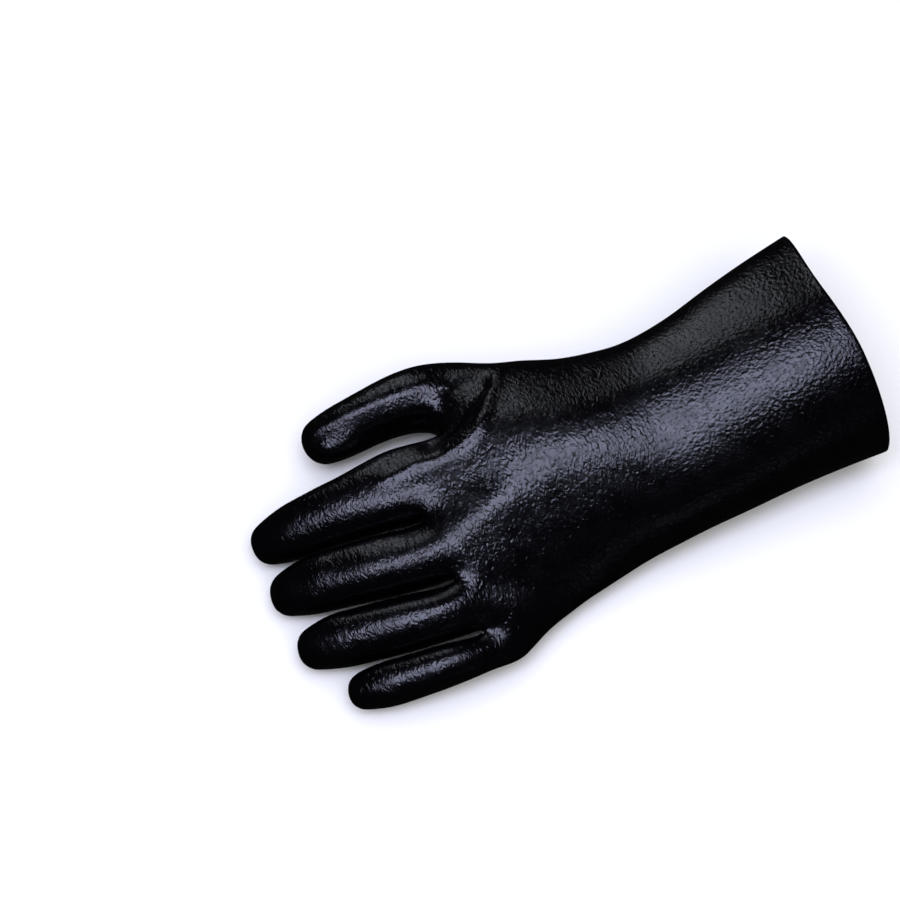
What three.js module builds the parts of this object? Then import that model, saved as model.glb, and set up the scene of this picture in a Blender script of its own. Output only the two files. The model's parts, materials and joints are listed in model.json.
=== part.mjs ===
// A PVC coated work glove with a gauntlet cuff: a left hand, lying palm down, one hollow wall.
// Millimetres. +X runs from the fingertips to the open cuff, +Y to the thumb side, +Z up.
// The origin is the middle of the footprint, on the surface that the glove lies on.

import * as THREE from "three";

const { degToRad, lerp, smoothstep } = THREE.MathUtils;

// Driving dimensions

const WALL_THICKNESS = 1.6;

const CUFF_LENGTH = 96; // the mouth to the narrowest place of the wrist
const HAND_LENGTH = 120; // the wrist to the crotches between the fingers

const MOUTH_WIDTH = 120;
const MOUTH_HEIGHT = 72;
const WRIST_WIDTH = 103;
const WRIST_HEIGHT = 54;
const PALM_WIDTH = 118;
const PALM_HEIGHT = 50;

const FINGER_PITCH = 29.6; // between the middle lines of neighbouring fingers
const FINGER_WIDTH = 28;
const FINGER_THICKNESS = 27;
const INDEX_LENGTH = 93; // each finger from its crotch line to its tip
const MIDDLE_LENGTH = 94.5;
const RING_LENGTH = 91.5;
const LITTLE_LENGTH = 80;
const FINGER_ROOT_HEIGHT = 28.5; // the middle line of the fingers above the surface, at the crotches
const FINGER_ROUND = 2.55; // a finger's section: 2 is an ellipse, more is squarer

const THUMB_LENGTH = 87; // from the hand's side to the tip
const THUMB_WIDTH = 28;
const THUMB_THICKNESS = 26;
const THUMB_ROOT_HEIGHT = 24;

const MOUTH_DIP = 3.5; // how far the cut edge dips towards the hand, on the thumb side
const DIP_PLACE = 0.3; // where it dips most, as a share of the way over the back
const WEB_REACH = 9; // how far the web at the thumb runs towards the fingertips
const WEB_FLANK = 6; // how far the index finger's root spreads towards the thumb
const WEB_DEPTH = 4; // how far a web's rounded edge lies behind the crotch
const THUMB_FLANK = 2.5; // how far the ball of the thumb spreads outwards at its root
const GUSSET_RELIEF = 1.5; // the ridge from the thumb's root to the index finger
const GUSSET_SPREAD = 5; // half the width of that ridge
const THUMB_SEAM_RELIEF = 0.9; // the two ridges along the back of the thumb
const EASED_RADIUS = 14; // how far from a web the skin is eased into a soft joint

// Counts of facets

const LANE = 4; // steps across one finger
const CORNER = LANE / 2; // steps from the middle of a side to where the back or the palm starts
const RING_POINTS = 10 * LANE; // round the cuff and hand: 16 over, 16 under and 4 on each side
const HALF_RING = RING_POINTS / 2;
const LOOP_POINTS = 4 * LANE; // round a finger or the thumb
const CUFF_STEPS = 12;
const HAND_STEPS = 15;
const THUMB_STEP = CUFF_STEPS + 8; // the ring where the thumb's root starts
const FINGER_STEPS = 9;
const THUMB_STEPS = 9;
const OUTLINE_STEPS = 60; // places worked out along half a section before it is spaced evenly
const KNUCKLE_STEPS = 5; // rings over which the hand divides into fingers
const KNUCKLE_EASE = 1.3; // exponent of that change: more keeps the hand whole for longer
const TRACK_STEPS = 8; // short steps along a middle line for each ring
const EASING_ROUNDS = 3;

// Sections from the mouth to the crotches of the fingers. "at" is a share of the cuff's or the
// hand's length. The two sides and the ridge of the back are shares of the named width. The top,
// the bottom and the heights of the widest places are shares of the named height. The rounds
// are exponents: 2 is an ellipse's quarter, less is flatter and more is fuller. The little
// finger's side has one over the back and another under the palm.

const GIRTHS = {
  mouth: { width: MOUTH_WIDTH, height: MOUTH_HEIGHT },
  wrist: { width: WRIST_WIDTH, height: WRIST_HEIGHT },
  palm: { width: PALM_WIDTH, height: PALM_HEIGHT },
};

const SECTION_COLUMNS = [
  "part", "at", "girth", "thumbSide", "littleSide", "ridge", "top", "bottom",
  "thumbWide", "littleWide", "thumbRound", "littleRound", "littleUnder",
];

const SECTIONS = table(SECTION_COLUMNS, [
  ["cuff", 0.0, "mouth", 0.5, -0.489, 0.06, 1.0, -0.03, 0.6, 0.4, 1.7, 2.0, 2.0],
  ["cuff", 0.25, "mouth", 0.468, -0.479, 0.06, 0.96, -0.03, 0.57, 0.4, 1.75, 2.0, 2.05],
  ["cuff", 0.5, "mouth", 0.428, -0.476, 0.06, 0.9, -0.02, 0.54, 0.4, 1.8, 1.95, 2.1],
  ["cuff", 0.75, "wrist", 0.452, -0.558, 0.07, 1.12, 0.0, 0.62, 0.5, 1.85, 1.9, 2.15],
  ["hand", 0.0, "wrist", 0.433, -0.56, 0.06, 1.05, 0.05, 0.57, 0.46, 1.9, 1.85, 2.2],
  ["hand", 0.133, "wrist", 0.459, -0.567, 0.06, 1.03, 0.05, 0.54, 0.42, 1.9, 1.75, 2.2],
  ["hand", 0.267, "palm", 0.441, -0.5, 0.06, 1.1, 0.04, 0.52, 0.38, 1.9, 1.65, 2.25],
  ["hand", 0.4, "palm", 0.505, -0.52, 0.09, 1.09, 0.03, 0.5, 0.36, 1.8, 1.6, 2.3],
  ["hand", 0.533, "palm", 0.563, -0.543, 0.145, 1.06, 0.04, 0.5, 0.35, 1.65, 1.55, 2.3],
  ["hand", 0.6, "palm", 0.55, -0.554, 0.175, 1.04, 0.06, 0.5, 0.34, 1.6, 1.55, 2.3],
  ["hand", 0.667, "palm", 0.45, -0.567, 0.2, 1.01, 0.08, 0.5, 0.33, 1.6, 1.55, 2.3],
  ["hand", 0.8, "palm", 0.35, -0.59, 0.22, 0.95, 0.14, 0.54, 0.34, 1.6, 1.6, 2.3],
  ["hand", 1.0, "palm", 0.36, -0.664, 0.2, 0.85, 0.3, 0.56, 0.4, 1.8, 1.9, 2.3],
]);

// The fingers, index first. "back" is how far the root lies behind the crotch line, as a share
// of the hand's length, "drop" how far it lies below the first, as a share of the thickness.
// "lane" is the room it takes at the roots, as a share of the pitch, and "girth" its size.
// The rolls are how many degrees its back leans towards the thumb side, at the root and beyond.
// Aims are degrees towards the thumb side and pitches degrees below level, at the root, the
// middle and the end.

const FINGER_COLUMNS = [
  "length", "back", "drop", "lane", "girth", "rootRoll", "roll",
  "rootAim", "middleAim", "endAim", "rootPitch", "middlePitch", "endPitch",
];

const FINGERS = table(FINGER_COLUMNS, [
  [INDEX_LENGTH, 0.04, -0.05, 0.88, 1.03, -4, 8, 9, 4, 0, 5, 15, 28],
  [MIDDLE_LENGTH, 0.04, 0.0, 1.04, 1.05, -12, 2, 2, 6, 11, 5, 14, 26],
  [RING_LENGTH, 0.035, 0.12, 1.02, 1.03, -24, 0, 3, 5.5, 12, 4, 11.3, 21],
  [LITTLE_LENGTH, 0.06, 0.28, 0.86, 0.88, -28, 0, 2, 5.5, 13, 2, 9.6, 18],
]);

// Folds across the hand and cuff. "at" is as in the sections, "from" and "to" are shares of the
// way from the thumb side to the little side, "depth" and "spread" shares of the palm's height.

const FOLD_COLUMNS = ["name", "part", "at", "face", "from", "to", "depth", "spread"];

const FOLDS = table(FOLD_COLUMNS, [
  ["finger bases", "hand", 0.9, "palm", 0.1, 0.9, 0.05, 0.13],
  ["middle of the palm", "hand", 0.66, "palm", 0.25, 0.7, 0.07, 0.3],
  ["heel of the hand", "hand", 0.16, "palm", 0.2, 0.8, 0.04, 0.14],
  ["back of the wrist", "hand", 0.03, "back", 0.3, 0.8, 0.02, 0.3],
]);

// The gusset's ridge, from the thumb's root to the index finger: "at" is a share of the hand's
// length from the wrist, "across" a share of the palm's width from the middle line.

const GUSSET = table(["at", "across"], [
  [0.52, 0.47],
  [0.62, 0.36],
  [0.7, 0.28],
  [0.78, 0.225],
  [0.9, 0.2],
  [1.0, 0.2],
]);

// Girth along a finger and the thumb, as shares of its length, width and thickness. "flank",
// "roll" and "seam" are the shares of the side's spread, of the finger's roll and of the seam
// ridges that show there.

const FINGER_GIRTHS = table(["at", "width", "thickness", "flank", "roll"], [
  [0.0, 1.0, 1.0, 1.0, 0.0],
  [0.2, 0.97, 0.97, 0.74, 0.85],
  [0.42, 1.0, 0.98, 0.0, 1.0],
  [0.58, 0.97, 0.93, 0.0, 1.0],
  [0.74, 0.96, 0.9, 0.0, 1.0],
  [0.88, 0.89, 0.84, 0.0, 1.0],
  [1.0, 0.79, 0.76, 0.0, 1.0],
]);

const THUMB_GIRTHS = table(["at", "width", "thickness", "flank", "seam", "aim", "pitch"], [
  [0.0, 1.4, 1.16, 1.0, 0.0, 46, 6],
  [0.2, 1.22, 1.08, 1.0, 0.5, 24, 6],
  [0.42, 1.07, 1.02, 0.52, 1.0, 7, 7],
  [0.62, 1.0, 1.0, 0.0, 1.0, 0, 10],
  [0.85, 0.97, 0.93, 0.0, 1.0, -3, 12],
  [1.0, 0.9, 0.86, 0.0, 1.0, -5, 13],
]);

// The rings that round off a tip, as shares of its radius; a small patch closes the last

const TIP_RADII = [0.96, 0.82, 0.58];

/** The rows of a table, each with its cells under the names of the columns. */
function table(columns, rows) {
  return rows.map((cells) => Object.fromEntries(columns.map((column, i) => [column, cells[i]])));
}

/** A column's value at a place, on a smooth curve through the rows of a table. */
function valueAt(rows, column, place) {
  const last = rows.length - 1;
  const clamped = Math.min(Math.max(place, rows[0].at), rows[last].at);
  let i = 0;
  while (i < last - 1 && clamped > rows[i + 1].at) i += 1;
  const slope = (k) => {
    const before = rows[Math.max(k - 1, 0)];
    const after = rows[Math.min(k + 1, last)];
    return (after[column] - before[column]) / (after.at - before.at);
  };
  const span = rows[i + 1].at - rows[i].at;
  const t = (clamped - rows[i].at) / span;
  const bend = t * (1 - t) * span;
  const eased = t * t * (3 - 2 * t);
  return (
    lerp(rows[i][column], rows[i + 1][column], eased) +
    bend * ((1 - t) * slope(i) - t * slope(i + 1))
  );
}

/** The section table with its shares worked out to millimetres. */
const sectionRows = SECTIONS.map((row) => {
  const { width, height } = GIRTHS[row.girth];
  const start = row.part === "cuff" ? 0 : CUFF_LENGTH;
  const length = row.part === "cuff" ? CUFF_LENGTH : HAND_LENGTH;
  return {
    at: start + row.at * length,
    thumbSide: row.thumbSide * width,
    littleSide: row.littleSide * width,
    ridge: row.ridge * width,
    top: row.top * height,
    bottom: row.bottom * height,
    thumbWide: row.thumbWide * height,
    littleWide: row.littleWide * height,
    thumbRound: row.thumbRound,
    littleRound: row.littleRound,
    littleUnder: row.littleUnder,
  };
});

/** How far from the mouth a numbered ring lies. */
function reachOf(step) {
  if (step <= CUFF_STEPS) return (CUFF_LENGTH * step) / CUFF_STEPS;
  return CUFF_LENGTH + (HAND_LENGTH * (step - CUFF_STEPS)) / HAND_STEPS;
}

/** A ring of the cuff or hand, from the thumb side over the back and under the palm. */
function handRing(reach) {
  const row = {};
  for (const column of Object.keys(sectionRows[0])) row[column] = valueAt(sectionRows, column, reach);
  const { thumbSide, littleSide, thumbWide, littleWide } = row;
  const halfOutline = (edge, split, turn, littleRound) => {
    const samples = [];
    for (let i = 0; i <= OUTLINE_STEPS; i += 1) {
      const angle = turn + (Math.PI * i) / OUTLINE_STEPS;
      const cosine = Math.cos(angle);
      const round = cosine > 0 ? row.thumbRound : littleRound;
      const side = cosine > 0 ? thumbSide : littleSide;
      const y = lerp(split, side, Math.abs(cosine) ** (2 / round));
      const wide = lerp(littleWide, thumbWide, (y - littleSide) / (thumbSide - littleSide));
      const z = lerp(wide, edge, Math.abs(Math.sin(angle)) ** (2 / round));
      samples.push(new THREE.Vector3(-reach, y, z));
    }
    return new THREE.CatmullRomCurve3(samples).getSpacedPoints(HALF_RING).slice(0, HALF_RING);
  };
  const middle = (thumbSide + littleSide) / 2;
  const over = halfOutline(row.top, row.ridge, 0, row.littleRound);
  const under = halfOutline(row.bottom, middle, Math.PI, row.littleUnder);
  return [...over, ...under];
}

/** How deep the folds press a point of a ring, across the back or the palm. */
function foldDepth(reach, i) {
  const under = i > HALF_RING;
  const share = (under ? RING_POINTS - i : i) / HALF_RING;
  const pressed = FOLDS.filter(({ face }) => (face === "palm") === under).map((fold) => {
    const start = fold.part === "cuff" ? 0 : CUFF_LENGTH;
    const length = fold.part === "cuff" ? CUFF_LENGTH : HAND_LENGTH;
    const away = (reach - start - fold.at * length) / (fold.spread * PALM_HEIGHT);
    const middle = (fold.from + fold.to) / 2;
    const across = 1 - smoothstep(Math.abs(share - middle), 0, (fold.to - fold.from) / 2);
    return fold.depth * PALM_HEIGHT * across * Math.exp(-away * away);
  });
  return pressed.reduce((sum, depth) => sum + depth, 0) * (under ? 1 : -1);
}

/** How much the gusset's ridge lifts a point of the back. */
function gussetLift(point, reach) {
  const share = (reach - CUFF_LENGTH) / HAND_LENGTH;
  if (share < GUSSET[0].at) return 0;
  const away = (point.y - valueAt(GUSSET, "across", share) * PALM_WIDTH) / GUSSET_SPREAD;
  return GUSSET_RELIEF * Math.exp(-away * away);
}

/** The frames of a finger or the thumb, stepped along its middle line. */
function trackFrames(start, length, steps, directionAt, girthAt) {
  const centre = start.clone();
  const frames = [];
  const count = steps * TRACK_STEPS;
  for (let i = 0; i <= count; i += 1) {
    const share = i / count;
    const { aim, pitch } = directionAt(share);
    const level = new THREE.Vector3(-Math.cos(degToRad(aim)), Math.sin(degToRad(aim)), 0);
    const ahead = level.clone().multiplyScalar(Math.cos(degToRad(pitch)));
    ahead.z = -Math.sin(degToRad(pitch));
    if (i % TRACK_STEPS === 0) {
      const girth = girthAt(share);
      const side = new THREE.Vector3(Math.sin(degToRad(aim)), Math.cos(degToRad(aim)), 0);
      side.applyAxisAngle(ahead, degToRad(girth.roll));
      const up = new THREE.Vector3().crossVectors(side, ahead);
      frames.push({ centre: centre.clone(), ahead, side, up, ...girth });
    }
    centre.addScaledVector(ahead, length / count);
  }
  return frames;
}

/** A point of a frame: shares of its half width and half thickness, and a distance ahead. */
function framePoint(frame, across, high, ahead = 0) {
  return frame.centre
    .clone()
    .addScaledVector(frame.side, (across * frame.width) / 2 + Math.max(across, 0) * frame.flank)
    .addScaledVector(frame.up, (high * frame.thickness) / 2)
    .addScaledVector(frame.ahead, ahead);
}

/** The angle of a loop's point, from the middle of the thumb side over the back. */
const loopAngle = (i) => (2 * Math.PI * i) / LOOP_POINTS;

/** The loop of points round a frame, shrunk to a share of its girth. */
function frameLoop(frame, share = 1, ahead = 0) {
  const seams = [LANE - 1, LANE + 1];
  const squared = (value) => Math.sign(value) * Math.abs(value) ** (2 / FINGER_ROUND);
  return Array.from({ length: LOOP_POINTS }, (_, i) => {
    const across = share * squared(Math.cos(loopAngle(i)));
    const high = share * squared(Math.sin(loopAngle(i)));
    const point = framePoint(frame, across, high, ahead);
    return seams.includes(i) ? point.addScaledVector(frame.up, frame.seam * share) : point;
  });
}

/** A skin of quads that is stitched together loop by loop, its faces pointing out. */
class Skin {
  points = [];
  quads = [];

  /** Takes in points and gives their numbers. A null is a place with no point. */
  add(points) {
    return points.map((point) => (point ? this.points.push(point) - 1 : null));
  }

  bridge(near, far, skip = () => false) {
    near.forEach((_, i) => {
      const next = (i + 1) % near.length;
      if (!skip(i)) this.quads.push([near[i], far[i], far[next], near[next]]);
    });
  }

  /** A grid of quads that closes a loop, its corners at the loop's diagonal points. */
  close(loop, interior) {
    const grid = [];
    for (let row = 0; row <= LANE; row += 1) {
      grid.push([]);
      for (let column = 0; column <= LANE; column += 1) {
        const onEdge = row === 0 || row === LANE || column === 0 || column === LANE;
        const index = onEdge ? loop[edgeIndex(row, column)] : this.add([interior(row, column)])[0];
        grid[row].push(index);
      }
    }
    for (let row = 0; row < LANE; row += 1) {
      for (let column = 0; column < LANE; column += 1) {
        const [a, b] = [grid[row][column], grid[row][column + 1]];
        const [c, d] = [grid[row + 1][column + 1], grid[row + 1][column]];
        this.quads.push([a, d, c, b]);
      }
    }
  }
}

/** The loop's point that lies at an edge place of the closing grid. */
function edgeIndex(row, column) {
  const corner = CORNER;
  if (row === 0) return corner + column;
  if (column === LANE) return corner + LANE + row;
  if (row === LANE) return corner + 3 * LANE - column;
  return (corner + 4 * LANE - row) % LOOP_POINTS;
}

/** Rings from a root loop to a rounded and closed tip. */
function growTube(skin, rootLoop, frames) {
  let near = rootLoop;
  const tip = frames[frames.length - 1];
  const radius = (tip.width + tip.thickness) / 4;
  const body = frames.slice(1).filter((frame) => {
    return frame.centre.distanceTo(tip.centre) > radius || frame === tip;
  });
  for (const frame of body.slice(0, -1)) {
    const far = skin.add(frameLoop(frame));
    skin.bridge(near, far);
    near = far;
  }
  const bulge = (share) => radius * (Math.sqrt(1 - share * share) - 1);
  for (const share of TIP_RADII) {
    const far = skin.add(frameLoop(tip, share, bulge(share)));
    skin.bridge(near, far);
    near = far;
  }
  const rim = TIP_RADII[TIP_RADII.length - 1];
  skin.close(near, (row, column) => {
    const across = 1 - (2 * column) / LANE;
    const high = 1 - (2 * row) / LANE;
    const x = rim * across * Math.sqrt(1 - (high * high) / 2);
    const y = rim * high * Math.sqrt(1 - (across * across) / 2);
    return framePoint(tip, x, y, bulge(Math.hypot(x, y)));
  });
}

/** The frames of a finger, from its root to its tip. */
function fingerFrames(finger, lane) {
  const little = sectionRows[sectionRows.length - 1].littleSide;
  const beyond = FINGERS.slice(lane + 1).map((other) => other.lane);
  const lanes = beyond.reduce((sum, share) => sum + share, finger.lane / 2);
  const start = new THREE.Vector3(
    finger.back * HAND_LENGTH - CUFF_LENGTH - HAND_LENGTH,
    little + lanes * FINGER_PITCH,
    FINGER_ROOT_HEIGHT - finger.drop * FINGER_THICKNESS,
  );
  const curl = [
    { at: 0, aim: finger.rootAim, pitch: finger.rootPitch },
    { at: 0.5, aim: finger.middleAim, pitch: finger.middlePitch },
    { at: 1, aim: finger.endAim, pitch: finger.endPitch },
  ];
  return trackFrames(
    start,
    finger.length,
    FINGER_STEPS,
    (share) => ({ aim: valueAt(curl, "aim", share), pitch: valueAt(curl, "pitch", share) }),
    (share) => ({
      width: valueAt(FINGER_GIRTHS, "width", share) * finger.girth * FINGER_WIDTH,
      thickness: valueAt(FINGER_GIRTHS, "thickness", share) * finger.girth * FINGER_THICKNESS,
      flank: lane === 0 ? valueAt(FINGER_GIRTHS, "flank", share) * WEB_FLANK : 0,
      roll: lerp(finger.rootRoll, finger.roll, valueAt(FINGER_GIRTHS, "roll", share)),
      seam: 0,
    }),
  );
}

/** The frames of the thumb, from the hand's side to its tip. */
function thumbFrames(start) {
  return trackFrames(
    start,
    THUMB_LENGTH,
    THUMB_STEPS,
    (share) => ({
      aim: valueAt(THUMB_GIRTHS, "aim", share),
      pitch: valueAt(THUMB_GIRTHS, "pitch", share),
    }),
    (share) => ({
      width: valueAt(THUMB_GIRTHS, "width", share) * THUMB_WIDTH,
      thickness: valueAt(THUMB_GIRTHS, "thickness", share) * THUMB_THICKNESS,
      flank: valueAt(THUMB_GIRTHS, "flank", share) * THUMB_FLANK,
      roll: 0,
      seam: valueAt(THUMB_GIRTHS, "seam", share) * THUMB_SEAM_RELIEF,
    }),
  );
}

/** The ring where the fingers start, and the webs between them. */
function fingerRoots(fingers) {
  const loops = fingers.map(([root], lane) => {
    return frameLoop({ ...root, width: FINGERS[lane].lane * FINGER_PITCH });
  });
  const ring = [];
  const webs = [];
  const between = (a, b) => new THREE.Vector3().addVectors(a, b).multiplyScalar(0.5);
  loops.forEach((loop, lane) => {
    for (let i = 0; i <= LANE; i += 1) {
      ring[CORNER + LANE * lane + i] = loop[CORNER + i];
      ring[RING_POINTS - CORNER - LANE * lane - i] = loop[LOOP_POINTS - CORNER - i];
    }
  });
  const sideOf = (loop, middle) => [loop[middle - 1], loop[middle], loop[middle + 1]];
  for (let lane = 1; lane < loops.length; lane += 1) {
    const [before, after] = [loops[lane - 1], loops[lane]];
    const facing = [after[1], after[0], after[LOOP_POINTS - 1]];
    webs.push(sideOf(before, 2 * LANE).map((point, i) => between(point, facing[i])));
    const top = between(before[CORNER + LANE], after[CORNER]);
    const bottom = between(before[LOOP_POINTS - CORNER - LANE], after[LOOP_POINTS - CORNER]);
    for (const point of [top, bottom]) point.x += WEB_DEPTH;
    ring[CORNER + LANE * lane] = top;
    ring[RING_POINTS - CORNER - LANE * lane] = bottom;
  }
  const [first, last] = [loops[0], loops[loops.length - 1]];
  [ring[0], ring[1], ring[RING_POINTS - 1]] = [first[0], first[1], first[LOOP_POINTS - 1]];
  sideOf(last, 2 * LANE).forEach((point, i) => (ring[HALF_RING - 1 + i] = point));
  return { ring, webs };
}

/** The finger's loop of indices, gathered from the last ring and the webs beside it. */
function rootLoop(ring, webs, lane) {
  const top = Array.from({ length: LANE + 1 }, (_, i) => ring[CORNER + LANE * lane + i]);
  const under = Array.from({ length: LANE + 1 }, (_, i) => {
    return ring[RING_POINTS - CORNER - LANE * (lane + 1) + i];
  });
  const thumbSide = lane === 0 ? [ring[1], ring[0], ring[RING_POINTS - 1]] : webs[lane - 1];
  const littleSide = lane === webs.length ? ring.slice(HALF_RING - 1, HALF_RING + 2) : webs[lane];
  const [high, level, low] = thumbSide;
  return [level, high, ...top, ...littleSide, ...under, low];
}

/** The thumb's loop of indices, round the patch that is left open in the hand's side. */
function thumbLoop(rings) {
  const first = rings[THUMB_STEP];
  const last = rings[THUMB_STEP + LANE];
  const under = RING_POINTS - CORNER;
  const over = rings.slice(THUMB_STEP + 1, THUMB_STEP + LANE).map((ring) => ring[CORNER]);
  const below = rings.slice(THUMB_STEP + 1, THUMB_STEP + LANE).map((ring) => ring[under]);
  return [
    first[0],
    first[1],
    first[CORNER],
    ...over,
    last[CORNER],
    last[1],
    last[0],
    last[RING_POINTS - 1],
    last[under],
    ...below.reverse(),
    first[under],
    first[RING_POINTS - 1],
  ];
}

/** How much of the mouth's dip falls on a point: all of it on the thumb side of the back. */
function mouthDip(i) {
  const lowest = DIP_PLACE * HALF_RING;
  return 1 - smoothstep(Math.abs(i - lowest), 0, lowest);
}

/** How far the web at the thumb is drawn out, at a point of a ring. */
function webPull(step, i) {
  const last = THUMB_STEP + LANE;
  const across = Math.min(i, RING_POINTS - i);
  const near = 1 - smoothstep(across, CORNER, CORNER + LANE);
  const rise = smoothstep(step, THUMB_STEP, last);
  const fall = (step - last) / (CUFF_STEPS + HAND_STEPS - last);
  return WEB_REACH * near * Math.min(rise, 1 - fall);
}

/** Whether a ring's point falls inside the patch where the thumb opens from the hand. */
function insideThumbPatch(step, i) {
  const across = i < CORNER || i > RING_POINTS - CORNER;
  return across && step > THUMB_STEP && step < THUMB_STEP + LANE;
}

/** The whole outer skin. */
function outerSkin() {
  const skin = new Skin();
  const fingers = FINGERS.map(fingerFrames);
  const roots = fingerRoots(fingers);
  const steps = CUFF_STEPS + HAND_STEPS;
  const rings = [];
  for (let step = 0; step < steps; step += 1) {
    const scallop = smoothstep(step, steps - KNUCKLE_STEPS, steps) ** KNUCKLE_EASE;
    const plain = handRing(reachOf(step));
    plain.forEach((point, i) => {
      point.z += foldDepth(reachOf(step), i);
      if (i < HALF_RING) point.z += gussetLift(point, reachOf(step));
      if (step === 0) point.x -= MOUTH_DIP * mouthDip(i);
    });
    const points = plain.map((point, i) => {
      const rooted = roots.ring[i].clone();
      rooted.x += reachOf(steps) - reachOf(step);
      point.lerp(rooted, scallop);
      point.x -= webPull(step, i);
      return insideThumbPatch(step, i) ? null : point;
    });
    rings.push(skin.add(points));
  }
  rings.push(skin.add(roots.ring));
  const webs = roots.webs.map((web) => skin.add(web));
  for (let step = 0; step < steps; step += 1) {
    const atThumb = step >= THUMB_STEP && step < THUMB_STEP + LANE;
    const open = (i) => atThumb && (i < CORNER || i >= RING_POINTS - CORNER);
    skin.bridge(rings[step], rings[step + 1], open);
  }
  fingers.forEach((frames, lane) => {
    growTube(skin, rootLoop(rings[steps], webs, lane), frames);
  });
  const loop = thumbLoop(rings);
  const start = loop.reduce((sum, i) => sum.add(skin.points[i]), new THREE.Vector3());
  start.multiplyScalar(1 / loop.length);
  start.x = -reachOf(THUMB_STEP + LANE / 2);
  start.z = THUMB_ROOT_HEIGHT;
  growTube(skin, loop, thumbFrames(start));
  return { skin, rings, webs, loop };
}

/** Each point's neighbours along the edges of the quads. */
function neighboursOf(skin) {
  const sets = skin.points.map(() => new Set());
  for (const quad of skin.quads) {
    quad.forEach((a, i) => {
      const b = quad[(i + 1) % 4];
      sets[a].add(b);
      sets[b].add(a);
    });
  }
  return sets.map((set) => [...set]);
}

/** Eases the joints of the fingers and the thumb with the hand, as a dipped coating does. */
function relax(skin, centres) {
  const neighbours = neighboursOf(skin);
  const weights = skin.points.map((point) => {
    const near = Math.min(...centres.map((centre) => centre.distanceTo(point)));
    return 0.5 * (1 - smoothstep(near, EASED_RADIUS / 2, EASED_RADIUS));
  });
  for (let round = 0; round < EASING_ROUNDS; round += 1) {
    const moved = skin.points.map((point, i) => {
      if (weights[i] === 0) return point;
      const mean = neighbours[i].reduce((sum, k) => sum.add(skin.points[k]), new THREE.Vector3());
      return point.clone().lerp(mean.multiplyScalar(1 / neighbours[i].length), weights[i]);
    });
    skin.points = moved;
  }
}

/** Each point's outward normal. */
function normalsOf(skin) {
  const normals = skin.points.map(() => new THREE.Vector3());
  for (const [a, b, c, d] of skin.quads) {
    const across = new THREE.Vector3().subVectors(skin.points[c], skin.points[a]);
    const along = new THREE.Vector3().subVectors(skin.points[d], skin.points[b]);
    const normal = across.cross(along);
    for (const i of [a, b, c, d]) normals[i].add(normal);
  }
  return normals.map((normal) => normal.normalize());
}

/** The closed body: the outer skin, the inner skin a wall inside it, and the cut edge. */
function wallGeometry(skin, mouth) {
  const normals = normalsOf(skin);
  const inner = skin.points.map((point, i) => {
    return point.clone().addScaledVector(normals[i], -WALL_THICKNESS);
  });
  for (const i of mouth) {
    normals[i].x = 0;
    inner[i] = skin.points[i].clone().addScaledVector(normals[i].normalize(), -WALL_THICKNESS);
  }
  const count = skin.points.length;
  const points = [...skin.points, ...inner];
  const quads = [...skin.quads];
  for (const quad of skin.quads) quads.push(quad.map((i) => i + count).reverse());
  mouth.forEach((i, k) => {
    const next = mouth[(k + 1) % mouth.length];
    quads.push([i, next, next + count, i + count]);
  });
  const triangles = [];
  for (const [a, b, c, d] of quads) {
    const short = points[a].distanceTo(points[c]) <= points[b].distanceTo(points[d]);
    triangles.push(...(short ? [a, b, c, a, c, d] : [a, b, d, b, c, d]));
  }
  const geometry = new THREE.BufferGeometry().setFromPoints(points);
  geometry.setIndex(triangles);
  geometry.computeVertexNormals();
  return geometry;
}

function pvcCoatedShell() {
  const { skin, rings, webs, loop } = outerSkin();
  const junctions = [...webs.map((web) => web[1]), ...loop].map((i) => skin.points[i].clone());
  relax(skin, junctions);
  for (const point of skin.points) point.z = Math.max(point.z, 0);
  const geometry = wallGeometry(skin, rings[0]);
  const material = new THREE.MeshStandardMaterial({
    color: 0x0b0b0f,
    roughness: 0.32,
    metalness: 0,
  });
  const mesh = new THREE.Mesh(geometry, material);
  mesh.name = "pvc_coated_shell";
  return mesh;
}

const glove = new THREE.Group();
const shell = pvcCoatedShell();
shell.geometry.computeBoundingBox();
const box = shell.geometry.boundingBox;
shell.position.set(-(box.min.x + box.max.x) / 2, -(box.min.y + box.max.y) / 2, -box.min.z);
glove.add(shell);

export default glove;
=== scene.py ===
"""A PVC coated work glove, left hand, lying palm down.

Metres. +X runs from the fingertips to the open cuff, +Y to the thumb side, +Z up.
"""

import json
import math

import bmesh
import bpy
import numpy as np
from mathutils import Matrix, Vector

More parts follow.
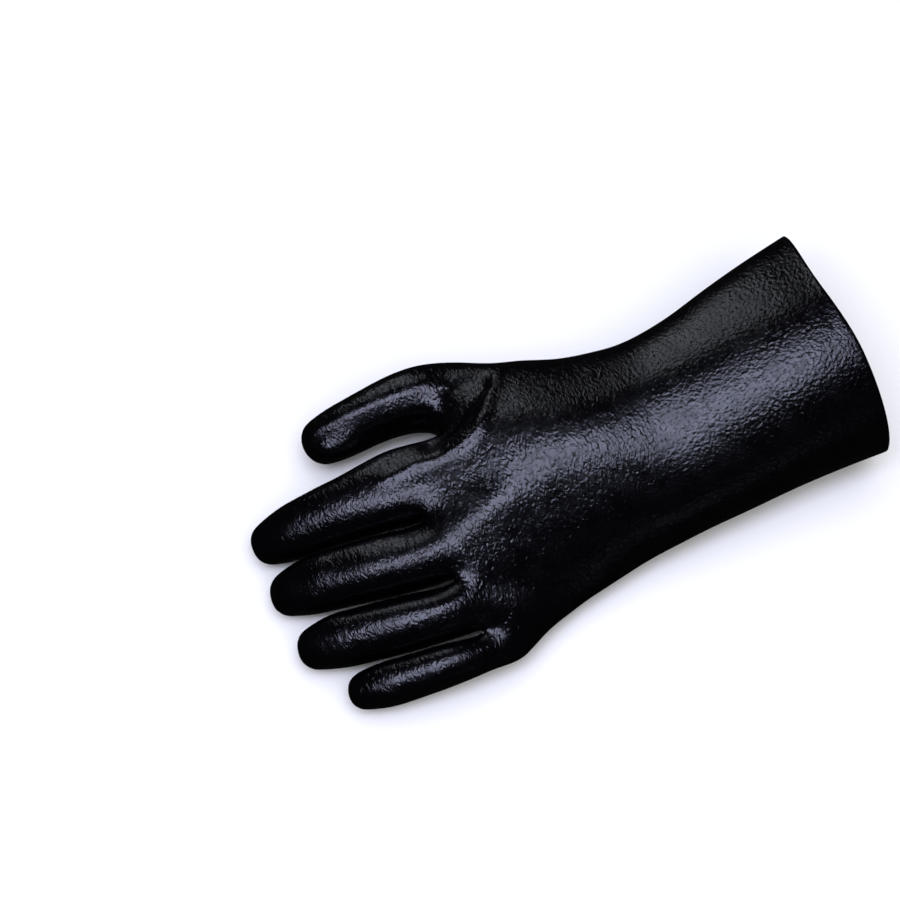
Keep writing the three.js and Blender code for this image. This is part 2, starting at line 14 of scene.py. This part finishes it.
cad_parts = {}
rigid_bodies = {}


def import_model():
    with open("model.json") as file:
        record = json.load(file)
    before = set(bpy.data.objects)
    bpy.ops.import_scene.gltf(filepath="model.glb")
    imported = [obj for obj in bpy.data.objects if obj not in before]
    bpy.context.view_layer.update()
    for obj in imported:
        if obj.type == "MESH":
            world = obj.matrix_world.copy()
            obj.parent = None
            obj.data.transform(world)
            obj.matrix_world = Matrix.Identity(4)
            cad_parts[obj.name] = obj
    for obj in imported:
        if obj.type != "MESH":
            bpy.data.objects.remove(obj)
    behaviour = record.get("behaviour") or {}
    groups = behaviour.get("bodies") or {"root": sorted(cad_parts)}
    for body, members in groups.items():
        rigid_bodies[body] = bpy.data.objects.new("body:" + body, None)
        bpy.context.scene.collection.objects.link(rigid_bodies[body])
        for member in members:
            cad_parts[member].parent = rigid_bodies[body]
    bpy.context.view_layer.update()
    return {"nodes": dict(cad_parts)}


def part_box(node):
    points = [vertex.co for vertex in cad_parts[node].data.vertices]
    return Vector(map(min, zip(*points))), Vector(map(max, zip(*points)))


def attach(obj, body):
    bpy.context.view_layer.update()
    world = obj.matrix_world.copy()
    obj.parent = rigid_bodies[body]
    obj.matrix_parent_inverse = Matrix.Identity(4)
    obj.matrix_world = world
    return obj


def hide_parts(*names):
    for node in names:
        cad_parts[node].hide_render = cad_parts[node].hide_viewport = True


SHELL = "pvc_coated_shell"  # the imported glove: one hollow wall

# The camera: where it stands, and which place of the glove falls on which pixel

IMAGE_SIZE = 900
CAMERA_AZIMUTH = -24.3
CAMERA_ELEVATION = 70.0
CAMERA_DISTANCE = 1.15
CAMERA_LENS = 94.7
SENSOR_WIDTH = 36
AIM_PLACE = (0.00595, -0.00039, 0.030)
AIM_PIXEL = (567, 462)

# The skins, in metres

SUBDIVISIONS = 2
MERGE_DISTANCE = 0.00002
MOUTH_ZONE = 0.006  # the cut edge lies this near the end of the cuff
MOUTH_FACING = 0.7  # and its faces point at least this much along the cuff
MOUTH_CREASE = 0.85  # how sharp the cut edge stays when the skins are rounded
CUFF_MIDDLE = (0.05, 0.0, 0.0)
ROOF_HEIGHT = 0.03  # the lining's roof lies above this,
ROOF_FACING = -0.9  # and its faces point down at least this much

# The finishes. Heights are in metres, and patterns and places along X in millimetres.

COATING_COLOUR = (0.0005, 0.0005, 0.0009, 1)
COATING_IOR = 1.53
COATING_ROUGHNESS = (0.17, 0.25)  # from the glossiest patches to the dullest
PATCH_SCALE = 0.09
PATCH_RANGE = (0.35, 0.65)
GRAIN_HEIGHT = 0.00033  # from the lowest to the highest of the grain in the coating
TIP_GRAIN = (-150, -120, 0.5)  # from one X to the other the grain grows from this share to full
PEBBLE_SCALE = 0.55
RIDGE_SCALE = 0.48
RIDGE_STRETCH = (1.0, 0.5, 0.8)
RIDGE_TURN = (0, 0, 0.25)
RIDGE_REACH = (70, 20)  # from one X to the other the cuff's pebbles pass into the hand's ridges
LINING_COLOUR = (0.62, 0.60, 0.55, 1)
LINING_SHADE = (0.44, 0.43, 0.40, 1)
LINING_ROUGHNESS = 0.92
SHADE_SCALE = 0.12
SHADE_RANGE = (0.3, 0.6)
KNIT_HEIGHT = 0.00025
STITCH_WIDTH = 1.6
STITCH_NARROWING = 1.3  # how much narrower the stitches are across than along
ROW_HEIGHT = 0.5  # how high the rows stand, as a share of the stitches' height
FLOOR_COLOUR = (0.93, 0.93, 0.93, 1)
FLOOR_ROUGHNESS = 0.9
FLOOR_SIZE = 6
FLOOR_HEIGHT = -0.0005
MIX_SOCKETS = {"FLOAT": (2, 3, 0), "RGBA": (6, 7, 2)}  # both inputs and the output of a Mix node

# The lights: directions from the glove, sizes in metres with the width along X, and watts

LIGHT_COLUMNS = ("name", "direction", "distance", "width", "depth", "power", "colour", "reflects")

LIGHTS = [
    ("key_light", (-0.19, -0.06, 1.0), 1.5, 1.23, 0.44, 10.8, (0.69, 0.72, 1.0), True),
    ("rear_light", (-0.01, 0.86, 0.5), 1.6, 0.4, 1.35, 2.5, (0.87, 0.9, 1.0), True),
    ("front_light", (0.03, -0.92, 0.4), 1.6, 0.4, 0.25, 0.06, (0.9, 0.93, 1.0), True),
    ("floor_fill", (0.0, -0.1, 1.0), 1.8, 3.2, 3.2, 55, (1.0, 1.0, 1.0), False),
]
WORLD_STRENGTH = 0.01

# From here on all places are in millimetres. The tables named ALONG and ACROSS give shares at
# places along X, and at places across Y.

# Each finger's middle line, and how many degrees its back leans towards the thumb side

LEAN_COLUMNS = ("finger", "lean", "path")

LEANS = [
    ("index", -16, [(-60, 20.5, 30), (-105, 26, 22), (-150, 27.5, 5)]),
    ("middle", -13, [(-60, -7.5, 28.5), (-106, -4.5, 20.5), (-151, 2, 4)]),
    ("ring", -10, [(-60, -38, 25.5), (-106, -35, 19), (-150, -28, 6.5)]),
    ("little", -9, [(-57, -66, 21), (-97, -63.5, 17), (-137, -57, 7.5)]),
    ("thumb", -14, [(-22, 50, 25), (-55, 51.5, 21), (-100, 53, 13)]),
]
LEAN_EASE = (0.04, 0.3)  # the leaning sets in between these shares of a path
LEAN_BLEND = 10.0  # how much nearer than the next a middle line is where it holds fully

# How far the back sinks towards the little finger's knuckle. Only the upper skin follows, from
# one height to another.

KNUCKLE_FALL = -6.5
FALL_ALONG = [(-88, 0), (-62, 0.8), (-42, 1), (-20, 0.8), (20, 0)]
FALL_ACROSS = [(-6, 0), (-34, 0.55), (-60, 1), (-80, 1)]
UPPER_HEIGHTS = (12, 28)

# How far the roots of the fingers are drawn towards the little side

FINGER_DRIFT = -8.5
DRIFT_ALONG = [(-150, 0), (-125, 0.12), (-100, 0.55), (-75, 1), (-55, 1), (-35, 0.5), (-10, 0)]
DRIFT_ACROSS = [(46, 0), (30, 0.12), (14, 0.6), (0, 1), (-32, 1), (-52, 0.66), (-64, 0.4), (-76, 0)]

# Where the back is smoothed over behind the knuckles, how often, and how strongly

CALM_ALONG = [(-76, 0), (-60, 1), (-26, 1), (-6, 0)]
CALM_ACROSS = [(26, 0), (10, 1), (-68, 1), (-77, 0)]
CALM_ROUNDS = 110
CALM_STRENGTH = 0.5
CALM_FACING = 3  # how quickly the smoothing sets in where the skin turns upwards

# Small forms worked into the skin. "lift" is how far outwards, less than nothing for a
# hollow, and "spread" is half the width. The path gives places on the skin. The swells narrow
# the gaps between the fingers before the fingers are turned, and the relief comes last.

RELIEF_COLUMNS = ("form", "lift", "spread", "path")

SWELLS = [
    ("index and middle", 0.5, 9.0, [(-76, 8, 22), (-110, 11, 17), (-132, 13, 11)]),
    ("middle and ring", 0.5, 9.0, [(-78, -21.5, 21), (-110, -19.5, 16), (-132, -16.5, 10)]),
    ("ring and little", 0.5, 9.0, [(-76, -52, 20), (-100, -50, 16), (-124, -46.5, 11)]),
]

RELIEF = [
    ("gusset bead", 1.5, 3.0, [
        (-6, 54, 39), (-17, 41, 47), (-23, 33.5, 48.5), (-31, 27, 49), (-41, 24, 47.5),
        (-51, 23.5, 44.5), (-63, 25.5, 43), (-72, 25, 42), (-80, 24.5, 41),
    ]),
    ("web hollow", -1.8, 5.0, [(-17, 48, 42), (-27, 42, 42), (-38, 36, 42), (-52, 33, 41)]),
    ("thumb ridge", 1.4, 4.5, [
        (-97, 66, 24.5), (-84, 66, 28), (-71, 65.5, 31), (-55, 64.5, 33.5), (-40, 63, 35.5),
        (-27, 61.5, 37), (-12, 59.5, 37),
    ]),
    ("thumb crease", -0.9, 1.6, [
        (-90, 66, 26.5), (-71, 65.5, 31), (-55, 64.5, 33.5), (-40, 63, 35.5), (-27, 61.5, 37),
    ]),
    ("thumb hollow", -2.6, 5.5, [(-76, 53, 27), (-62, 50.5, 29), (-49, 47, 32)]),
    ("thumb pad", 1.3, 4.5, [(-97, 54, 22.5), (-88, 52, 23), (-79, 52.5, 22)]),
    ("middle flank", -1.3, 5.5, [(-76, -5, 37), (-92, -4.5, 34.5), (-115, -1.5, 28)]),
    ("ring flank", -1.0, 5.0, [(-82, -32, 34), (-106, -28, 29), (-120, -25, 24)]),
    ("fork beside the ring finger", -1.2, 7.0, [(-60, -62, 31), (-66, -60, 30)]),
    ("ring knuckle", -1.6, 10.0, [(-42, -46, 36), (-54, -44, 35)]),
    ("middle knuckle", 1.2, 10.0, [(-34, -10, 44.5), (-50, -12, 42)]),
    ("little knuckle", -1.5, 13.0, [(-46, -76, 23), (-60, -74, 26)]),
]

EASE_STEPS = 201  # a table of shares is drawn out to this many steps,
EASE_WINDOW = 31  # and smoothed over this many of them


# Mesh work, as by hand


def deselect_all():
    """Nothing stays selected, so the next operator acts on what is picked for it."""
    if bpy.context.object and bpy.context.object.mode != "OBJECT":
        bpy.ops.object.mode_set(mode="OBJECT")
    bpy.ops.object.select_all(action="DESELECT")


def work_on(piece):
    """Only this piece is selected and active."""
    deselect_all()
    piece.select_set(True)
    bpy.context.view_layer.objects.active = piece


def pick_faces(piece, chosen):
    """In edit mode: selects the faces that a test on centre and normal chooses."""
    bpy.ops.mesh.select_mode(type="FACE")
    bpy.ops.mesh.select_all(action="DESELECT")
    mesh = bmesh.from_edit_mesh(piece.data)
    for face in mesh.faces:
        face.select_set(chosen(face.calc_center_median(), face.normal))
    mesh.select_flush_mode()
    bmesh.update_edit_mesh(piece.data)


def apply_modifiers(piece):
    """Every modifier becomes part of the mesh."""
    work_on(piece)
    for modifier in list(piece.modifiers):
        bpy.ops.object.modifier_apply(modifier=modifier.name)


def places_of(piece):
    """Every vertex's place and outward normal, as arrays."""
    count = len(piece.data.vertices)
    places = np.zeros(count * 3, np.float32)
    normals = np.zeros(count * 3, np.float32)
    piece.data.vertices.foreach_get("co", places)
    piece.data.vertices.foreach_get("normal", normals)
    return places.reshape(-1, 3).astype(float), normals.reshape(-1, 3).astype(float)


def put_places(piece, places):
    """Moves every vertex to its place."""
    piece.data.vertices.foreach_set("co", places.astype(np.float32).ravel())
    piece.data.update()


def merged_copy(node, name):
    """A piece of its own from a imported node, its loose triangles merged into quads."""
    work_on(frame["nodes"][node])
    bpy.ops.object.duplicate()
    piece = bpy.context.object
    piece.name = name
    piece.data.name = name
    for key in list(piece.keys()):
        if key.startswith("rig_"):
            del piece[key]
    piece.parent = None
    work_on(piece)
    bpy.ops.object.mode_set(mode="EDIT")
    bpy.ops.mesh.select_all(action="SELECT")
    bpy.ops.mesh.remove_doubles(threshold=MERGE_DISTANCE)
    bpy.ops.mesh.tris_convert_to_quads(face_threshold=math.pi, shape_threshold=math.pi)
    bpy.ops.object.mode_set(mode="OBJECT")
    return piece


def part_skins(piece, coating, lining):
    """Gives the inner skin the lining's finish and creases the cut edge between the skins."""
    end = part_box(SHELL)[1].x
    piece.data.materials.clear()
    piece.data.materials.append(coating)
    piece.data.materials.append(lining)
    work_on(piece)
    bpy.ops.object.mode_set(mode="EDIT")
    pick_faces(piece, lambda at, normal: end - at.x < MOUTH_ZONE and normal.x > MOUTH_FACING)
    bpy.ops.mesh.region_to_loop()
    bpy.ops.mesh.mark_seam()
    bpy.ops.transform.edge_crease(value=MOUTH_CREASE)
    pick_faces(piece, lambda at, normal: False)
    mesh = bmesh.from_edit_mesh(piece.data)
    roof = [
        face for face in mesh.faces
        if face.normal.z < ROOF_FACING and face.calc_center_median().z > ROOF_HEIGHT
    ]
    middle = Vector(CUFF_MIDDLE)
    start = min(roof, key=lambda face: (face.calc_center_median() - middle).xy.length)
    start.select_set(True)
    bmesh.update_edit_mesh(piece.data)
    bpy.ops.mesh.select_linked(delimit={"SEAM"})
    piece.active_material_index = 1
    bpy.ops.object.material_slot_assign()
    bpy.ops.object.mode_set(mode="OBJECT")


def lining_points(piece):
    """Which vertices belong to the inner skin, whose normals point into the hand's room."""
    faces = piece.data.polygons
    skins = np.zeros(len(faces), np.int32)
    sizes = np.zeros(len(faces), np.int32)
    corners = np.zeros(len(piece.data.loops), np.int32)
    faces.foreach_get("material_index", skins)
    faces.foreach_get("loop_total", sizes)
    piece.data.loops.foreach_get("vertex_index", corners)
    inner = np.zeros(len(piece.data.vertices), bool)
    inner[corners[np.repeat(skins, sizes) == 1]] = True
    return inner


def share_at(table, values):
    """Shares from a table of places and shares, eased between its rows."""
    rows = sorted(table)
    reach = np.linspace(rows[0][0], rows[-1][0], EASE_STEPS)
    shares = np.interp(reach, [row[0] for row in rows], [row[1] for row in rows])
    window = np.hanning(EASE_WINDOW) / np.hanning(EASE_WINDOW).sum()
    smooth = np.convolve(np.pad(shares, EASE_WINDOW // 2, mode="edge"), window, mode="valid")
    return np.interp(values, reach, smooth)


def eased(value, low, high):
    """A share that sets in softly as a value goes from low to high."""
    share = np.clip((value - low) / (high - low), 0, 1)
    return share * share * (3 - 2 * share)


def nearest_on_path(places, path):
    """How far every place lies from a path of straight lengths, in millimetres."""
    nearest = np.full(len(places), np.inf)
    for start, end in zip(path[:-1], path[1:]):
        start, end = np.array(start, float), np.array(end, float)
        along = end - start
        share = np.clip((places - start) @ along / (along @ along), 0, 1)
        away = np.linalg.norm(places - start - share[:, None] * along, axis=1)
        nearest = np.minimum(nearest, away)
    return nearest


def work_relief(piece, rows):
    """Lifts or presses both skins together along the paths of a relief table."""
    places, normals = places_of(piece)
    outward = np.where(lining_points(piece)[:, None], -normals, normals)
    lift = np.zeros(len(places))
    for row in rows:
        form = dict(zip(RELIEF_COLUMNS, row))
        away = nearest_on_path(places * 1000, form["path"]) / form["spread"]
        lift += form["lift"] * np.exp(-away * away)
    put_places(piece, places + outward * lift[:, None] / 1000)


def lean_fingers(piece):
    """Turns the fingers and the thumb about their middle lines, so that their backs face up."""
    places, _ = places_of(piece)
    reach = [nearest_on_path(places * 1000, row[2]) for row in LEANS]
    closest = np.argmin(reach, axis=0)
    nearest, second = np.sort(reach, axis=0)[:2]
    own = eased(second - nearest, 0, LEAN_BLEND)
    for number, (_, lean, path) in enumerate(LEANS):
        start, end = np.array(path[0], float), np.array(path[-1], float)
        length = np.linalg.norm(end - start)
        ahead = (end - start) / length
        along = (places * 1000 - start) @ ahead / length
        share = eased(along, *LEAN_EASE) * own * (closest == number)
        knots = [(np.array(knot) - start) @ ahead / length for knot in path]
        line = np.stack([
            np.interp(along, knots, [knot[axis] for knot in path]) for axis in range(3)
        ], axis=1) / 1000
        arm = places - line
        angle = np.radians(lean) * share[:, None]
        turned = (
            arm * np.cos(angle) + np.cross(ahead, arm) * np.sin(angle)
            + ahead * (arm @ ahead)[:, None] * (1 - np.cos(angle))
        )
        places = np.where(share[:, None] > 0, line + turned, places)
    put_places(piece, places)


def draw_roots(piece):
    """Draws the roots of the fingers sideways, and sinks the back by the little finger."""
    places, _ = places_of(piece)
    x, y, z = (places * 1000).T
    low, high = UPPER_HEIGHTS
    upper = np.clip((z - low) / (high - low), 0, 1)
    places[:, 1] += FINGER_DRIFT / 1000 * share_at(DRIFT_ALONG, x) * share_at(DRIFT_ACROSS, y)
    places[:, 2] += KNUCKLE_FALL / 1000 * upper * share_at(FALL_ALONG, x) * share_at(FALL_ACROSS, y)
    put_places(piece, places)


def calm_knuckles(piece):
    """Smooths the back of the hand behind the knuckles, as with a smoothing brush."""
    places, normals = places_of(piece)
    outward = np.where(lining_points(piece)[:, None], -normals, normals)
    weight = share_at(CALM_ALONG, places[:, 0] * 1000) * share_at(CALM_ACROSS, places[:, 1] * 1000)
    weight *= np.clip(outward[:, 2] * CALM_FACING, 0, 1) * CALM_STRENGTH
    ends = np.zeros(len(piece.data.edges) * 2, np.int32)
    piece.data.edges.foreach_get("vertices", ends)
    first, second = ends.reshape(-1, 2).T
    near = np.flatnonzero(weight > 0)
    kept = (weight[first] > 0) | (weight[second] > 0)
    first, second = first[kept], second[kept]
    both = np.concatenate([first, second])
    other = np.concatenate([second, first])
    count = np.bincount(both, minlength=len(places))[near][:, None]
    for _ in range(CALM_ROUNDS):
        sums = np.stack([
            np.bincount(both, places[other, axis], len(places)) for axis in range(3)
        ], axis=1)
        places[near] += weight[near, None] * (sums[near] / count - places[near])
    put_places(piece, places)


def settle(piece):
    """Presses what lies under the surface flat onto it."""
    places, _ = places_of(piece)
    places[:, 2] = np.maximum(places[:, 2], 0)
    put_places(piece, places)


# Finishes


def socket_group(name, inputs, outputs):
    """A node group with its named sockets, and its input and output nodes."""
    group = bpy.data.node_groups.new(name, "ShaderNodeTree")
    for label, kind, value in inputs:
        socket = group.interface.new_socket(label, in_out="INPUT", socket_type=kind)
        socket.default_value = value
    for label, kind in outputs:
        group.interface.new_socket(label, in_out="OUTPUT", socket_type=kind)
    return group, group.nodes.new("NodeGroupInput"), group.nodes.new("NodeGroupOutput")


def node_of(tree, kind, **settings):
    """A new node with these settings."""
    node = tree.nodes.new(kind)
    for key, value in settings.items():
        setattr(node, key, value)
    return node


def plain_material(name):
    """A new material, its node tree and its shader."""
    material = bpy.data.materials.new(name)
    material.use_nodes = True
    return material, material.node_tree, material.node_tree.nodes["Principled BSDF"]


def millimetres(tree, stretch=(1, 1, 1), turn=(0, 0, 0)):
    """Object coordinates in millimetres, stretched and turned for a pattern."""
    coordinates = node_of(tree, "ShaderNodeTexCoord")
    mapping = node_of(tree, "ShaderNodeMapping")
    mapping.inputs["Scale"].default_value = tuple(1000 * share for share in stretch)
    mapping.inputs["Rotation"].default_value = turn
    tree.links.new(coordinates.outputs["Object"], mapping.inputs["Vector"])
    return mapping.outputs["Vector"]


def noise_of(tree, place, scale, detail=2.0, distortion=0.0):
    """A noise over places in millimetres."""
    noise = node_of(tree, "ShaderNodeTexNoise")
    noise.inputs["Scale"].default_value = scale
    noise.inputs["Detail"].default_value = detail
    noise.inputs["Distortion"].default_value = distortion
    tree.links.new(place, noise.inputs["Vector"])
    return noise.outputs["Fac"]


def grain_group():
    """Relief of the dipped skin: soft pebbles mixed with short, curved, wavy ridges."""
    group, start, end = socket_group(
        "dipped_grain",
        [("Pebbles", "NodeSocketVector", (0, 0, 0)), ("Ridges", "NodeSocketVector", (0, 0, 0)),
         ("Ridge Share", "NodeSocketFloat", 0.5)],
        [("Relief", "NodeSocketFloat")],
    )
    pebbles = noise_of(group, start.outputs["Pebbles"], PEBBLE_SCALE, detail=1.5, distortion=0.3)
    ridges = noise_of(group, start.outputs["Ridges"], RIDGE_SCALE, detail=1.0, distortion=1.4)
    blend = node_of(group, "ShaderNodeMix", data_type="FLOAT")
    first, second, mixed = MIX_SOCKETS["FLOAT"]
    group.links.new(start.outputs["Ridge Share"], blend.inputs["Factor"])
    group.links.new(pebbles, blend.inputs[first])
    group.links.new(ridges, blend.inputs[second])
    group.links.new(blend.outputs[mixed], end.inputs["Relief"])
    return group


def ramp_of(tree, source, low, high, floor=0.0, ceiling=1.0):
    """A value eased from floor to ceiling as the source goes from low to high."""
    ramp = node_of(tree, "ShaderNodeMapRange", interpolation_type="SMOOTHSTEP")
    ramp.inputs["From Min"].default_value = low
    ramp.inputs["From Max"].default_value = high
    ramp.inputs["To Min"].default_value = floor
    ramp.inputs["To Max"].default_value = ceiling
    tree.links.new(source, ramp.inputs["Value"])
    return ramp.outputs["Result"]


def coating_material():
    """Black dipped PVC: a wet gloss over pebbled grain and short wavy ridges."""
    material, tree, shader = plain_material("black_dipped_pvc")
    shader.inputs["Base Color"].default_value = COATING_COLOUR
    shader.inputs["IOR"].default_value = COATING_IOR
    grain = node_of(tree, "ShaderNodeGroup")
    grain.node_tree = grain_group()
    tree.links.new(millimetres(tree), grain.inputs["Pebbles"])
    tree.links.new(millimetres(tree, RIDGE_STRETCH, RIDGE_TURN), grain.inputs["Ridges"])
    place = node_of(tree, "ShaderNodeSeparateXYZ")
    tree.links.new(millimetres(tree), place.inputs["Vector"])
    along = place.outputs["X"]
    tree.links.new(ramp_of(tree, along, *RIDGE_REACH), grain.inputs["Ridge Share"])
    patches = noise_of(tree, millimetres(tree), PATCH_SCALE)
    gloss = ramp_of(tree, patches, *PATCH_RANGE, *COATING_ROUGHNESS)
    tree.links.new(gloss, shader.inputs["Roughness"])
    bump = node_of(tree, "ShaderNodeBump")
    bump.inputs["Distance"].default_value = GRAIN_HEIGHT
    tree.links.new(grain.outputs["Relief"], bump.inputs["Height"])
    tree.links.new(ramp_of(tree, along, *TIP_GRAIN), bump.inputs["Strength"])
    tree.links.new(bump.outputs["Normal"], shader.inputs["Normal"])
    return material


def knit_group():
    """Relief of a plain knit: upright stitches in rows, round the tube of the cuff."""
    group, start, end = socket_group(
        "plain_knit",
        [("Place", "NodeSocketVector", (0, 0, 0)), ("Stitch", "NodeSocketFloat", STITCH_WIDTH)],
        [("Relief", "NodeSocketFloat")],
    )
    split = node_of(group, "ShaderNodeSeparateXYZ")
    group.links.new(start.outputs["Place"], split.inputs["Vector"])
    waves = []
    for label, narrowing in (("X", 1.0), ("Y", STITCH_NARROWING), ("Z", STITCH_NARROWING)):
        turns = node_of(group, "ShaderNodeMath", operation="DIVIDE")
        group.links.new(split.outputs[label], turns.inputs[0])
        group.links.new(start.outputs["Stitch"], turns.inputs[1])
        angle = node_of(group, "ShaderNodeMath", operation="MULTIPLY")
        angle.inputs[1].default_value = 2 * math.pi * narrowing
        group.links.new(turns.outputs[0], angle.inputs[0])
        wave = node_of(group, "ShaderNodeMath", operation="SINE")
        group.links.new(angle.outputs[0], wave.inputs[0])
        waves.append(wave.outputs[0])
    across = node_of(group, "ShaderNodeMath", operation="MULTIPLY")
    group.links.new(waves[1], across.inputs[0])
    group.links.new(waves[2], across.inputs[1])
    total = node_of(group, "ShaderNodeMath", operation="MULTIPLY_ADD")
    total.inputs[1].default_value = ROW_HEIGHT
    group.links.new(waves[0], total.inputs[0])
    group.links.new(across.outputs[0], total.inputs[2])
    group.links.new(total.outputs[0], end.inputs["Relief"])
    return group


def lining_material():
    """The knitted cotton liner inside the cuff, greyed in patches by the coating behind it."""
    material, tree, shader = plain_material("knitted_liner")
    shader.inputs["Roughness"].default_value = LINING_ROUGHNESS
    knit = node_of(tree, "ShaderNodeGroup")
    knit.node_tree = knit_group()
    tree.links.new(millimetres(tree), knit.inputs["Place"])
    shade = noise_of(tree, millimetres(tree), SHADE_SCALE)
    colour = node_of(tree, "ShaderNodeMix", data_type="RGBA")
    first, second, mixed = MIX_SOCKETS["RGBA"]
    colour.inputs[first].default_value = LINING_SHADE
    colour.inputs[second].default_value = LINING_COLOUR
    tree.links.new(ramp_of(tree, shade, *SHADE_RANGE), colour.inputs["Factor"])
    tree.links.new(colour.outputs[mixed], shader.inputs["Base Color"])
    bump = node_of(tree, "ShaderNodeBump")
    bump.inputs["Distance"].default_value = KNIT_HEIGHT
    tree.links.new(knit.outputs["Relief"], bump.inputs["Height"])
    tree.links.new(bump.outputs["Normal"], shader.inputs["Normal"])
    return material


# The stage


def set_camera():
    """The camera, stepped sideways and up so that the aimed place falls on its pixel."""
    azimuth, elevation = math.radians(CAMERA_AZIMUTH), math.radians(CAMERA_ELEVATION)
    back = Vector((
        math.sin(azimuth) * math.cos(elevation),
        -math.cos(azimuth) * math.cos(elevation),
        math.sin(elevation),
    ))
    right = Vector((math.cos(azimuth), math.sin(azimuth), 0))
    up = back.cross(right)
    pixels = IMAGE_SIZE * CAMERA_LENS / SENSOR_WIDTH
    aside = (AIM_PIXEL[0] - IMAGE_SIZE / 2) / pixels * CAMERA_DISTANCE
    rise = (IMAGE_SIZE / 2 - AIM_PIXEL[1]) / pixels * CAMERA_DISTANCE
    place = Vector(AIM_PLACE) + back * CAMERA_DISTANCE - right * aside - up * rise
    deselect_all()
    bpy.ops.object.camera_add(location=place, rotation=back.to_track_quat("Z", "Y").to_euler())
    camera = bpy.context.object
    camera.name = "camera"
    camera.data.lens = CAMERA_LENS
    camera.data.sensor_width = SENSOR_WIDTH
    camera.data.dof.use_dof = False
    bpy.context.scene.camera = camera


def softbox(name, direction, distance, width, depth, power, colour, reflects):
    """A rectangular light that faces the glove, mirrored in its gloss only where it reflects."""
    towards = Vector(direction).normalized()
    along = (Vector((1, 0, 0)) - towards * towards.x).normalized()
    turn = Matrix((along, towards.cross(along), towards)).transposed()
    deselect_all()
    bpy.ops.object.light_add(
        type="AREA", location=towards * distance, rotation=turn.to_euler()
    )
    light = bpy.context.object
    light.name = name
    light.data.shape = "RECTANGLE"
    light.data.size = width
    light.data.size_y = depth
    light.data.energy = power
    light.data.color = colour
    light.visible_glossy = reflects


def set_stage():
    """The pale floor, the lights and the dim surroundings."""
    deselect_all()
    bpy.ops.mesh.primitive_plane_add(size=FLOOR_SIZE, location=(0, 0, FLOOR_HEIGHT))
    floor = bpy.context.object
    floor.name = "floor"
    material, tree, shader = plain_material("pale_floor")
    shader.inputs["Base Color"].default_value = FLOOR_COLOUR
    shader.inputs["Roughness"].default_value = FLOOR_ROUGHNESS
    floor.data.materials.append(material)
    floor.visible_glossy = False
    for row in LIGHTS:
        softbox(**dict(zip(LIGHT_COLUMNS, row)))
    world = bpy.data.worlds.new("studio")
    bpy.context.scene.world = world
    world.use_nodes = True
    background = world.node_tree.nodes["Background"]
    background.inputs["Color"].default_value = (1, 1, 1, 1)
    background.inputs["Strength"].default_value = WORLD_STRENGTH
    bpy.context.scene.view_settings.view_transform = "Standard"


# The work

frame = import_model()

set_camera()
set_stage()

glove = merged_copy(SHELL, "coated_glove")
part_skins(glove, coating_material(), lining_material())
subdivision = glove.modifiers.new("rounding", "SUBSURF")
subdivision.levels = subdivision.render_levels = SUBDIVISIONS
apply_modifiers(glove)
work_relief(glove, SWELLS)
lean_fingers(glove)
draw_roots(glove)
calm_knuckles(glove)
work_relief(glove, RELIEF)
settle(glove)
bpy.ops.object.shade_smooth()
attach(glove, "root")
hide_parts(SHELL)
